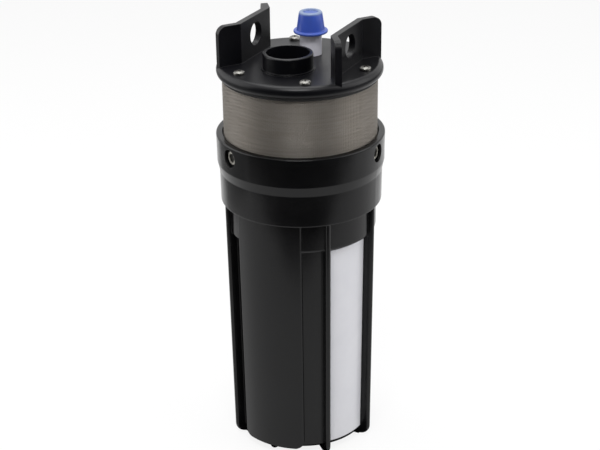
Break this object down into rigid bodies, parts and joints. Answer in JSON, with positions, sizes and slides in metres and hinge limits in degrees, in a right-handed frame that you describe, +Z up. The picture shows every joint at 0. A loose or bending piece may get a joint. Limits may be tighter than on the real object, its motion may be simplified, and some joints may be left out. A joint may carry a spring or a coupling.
{
  "type": "submersible diaphragm water pump",
  "caption": "Submersible water pump: black finned motor canister with a screw collar, a woven filter screen and a lift plate with rope ears, an outlet collar and a capped electric socket.",
  "frame": {"origin": "on the pump's axis at the bottom of its feet", "axes": "+Z up along the axis to the lift plate, -Y towards the outlet, +X towards one lift ear"},
  "size_m": [0.095, 0.095, 0.2558],
  "materials": {
    "moulded_black": "satin gloss moulded black plastic",
    "label_film": "blank pale film",
    "stainless": "bright stainless",
    "seal_rubber": "soft black rubber",
    "housing_plastic": "glass filled moulding",
    "screen_mesh": "fine woven stainless mesh",
    "motor_steel": "zinc plated",
    "bearing_steel": "ground steel",
    "ferrite": "sintered ferrite",
    "die_cast": "die cast",
    "core_iron": "stacked laminations",
    "copper": "enamelled copper",
    "brass_parts": "turned brass",
    "carbon": "pressed carbon",
    "spring_wire": "spring wire",
    "lead_sleeve": "soft insulation",
    "acetal": "natural moulding",
    "natural_nylon": "milky translucent",
    "cap_blue": "soft blue polyethylene"
  },
  "bodies": {
    "pump_body": {"canister": "moulded_black", "lift_plate": "moulded_black", "blank_label": "label_film", "canister_screws": "stainless", "lift_plate_screws": "stainless", "housing_screws": "stainless", "motor_bolts": "stainless", "canister_seal_ring": "seal_rubber", "screen_seal_lower": "seal_rubber", "screen_seal_upper": "seal_rubber", "outlet_washer": "seal_rubber", "socket_seal": "seal_rubber", "diaphragm": "seal_rubber", "inlet_valves": "seal_rubber", "outlet_valves": "seal_rubber", "lower_housing": "housing_plastic", "diaphragm_support": "housing_plastic", "valve_plate": "housing_plastic", "upper_housing": "housing_plastic", "filter_screen": "screen_mesh", "motor_can": "motor_steel", "rear_bearing": "bearing_steel", "front_bearing": "bearing_steel", "motor_magnets": "ferrite", "rear_end_bell": "die_cast", "front_end_bell": "die_cast", "brush_holders": "brass_parts", "bypass_plug": "brass_parts", "contact_pins": "brass_parts", "carbon_brushes": "carbon", "brush_springs": "spring_wire", "bypass_spring": "spring_wire", "motor_leads": "lead_sleeve", "connector_socket": "natural_nylon"},
    "rotor": {"motor_shaft": "bearing_steel", "armature_core": "core_iron", "armature_windings": "copper", "commutator": "copper", "cam_hub": "die_cast"},
    "wobble": {"cam_bearing": "bearing_steel", "wobble_plate": "acetal", "pistons": "acetal", "piston_screws": "stainless"},
    "cap": {"protective_cap": "cap_blue"},
    "bypass_valve": {"bypass_poppet": "acetal"}
  },
  "joints": [
    {"name": "motor_spin", "type": "hinge", "parent": "pump_body", "child": "rotor", "pos_m": [0, 0, 0.1], "axis": [0, 0, 1], "continuous": true},
    {"name": "wobble_turn", "type": "hinge", "parent": "rotor", "child": "wobble", "pos_m": [0, 0, 0.1889], "axis": [0, -0.0523, 0.9986], "continuous": true},
    {"name": "cap_pull", "type": "slide", "parent": "pump_body", "child": "cap", "axis": [0, 0, 1], "range_m": [0, 0.03]},
    {"name": "bypass_lift", "type": "slide", "parent": "pump_body", "child": "bypass_valve", "axis": [0, 0, 1], "range_m": [0, 0.0022], "stiffness_N_per_m": 1500, "springref_m": -0.002, "deforming": ["bypass_spring"]}
  ],
  "couplings": [
    {"joint": "wobble_turn", "follows": "motor_spin", "ratio": -1}
  ]
}
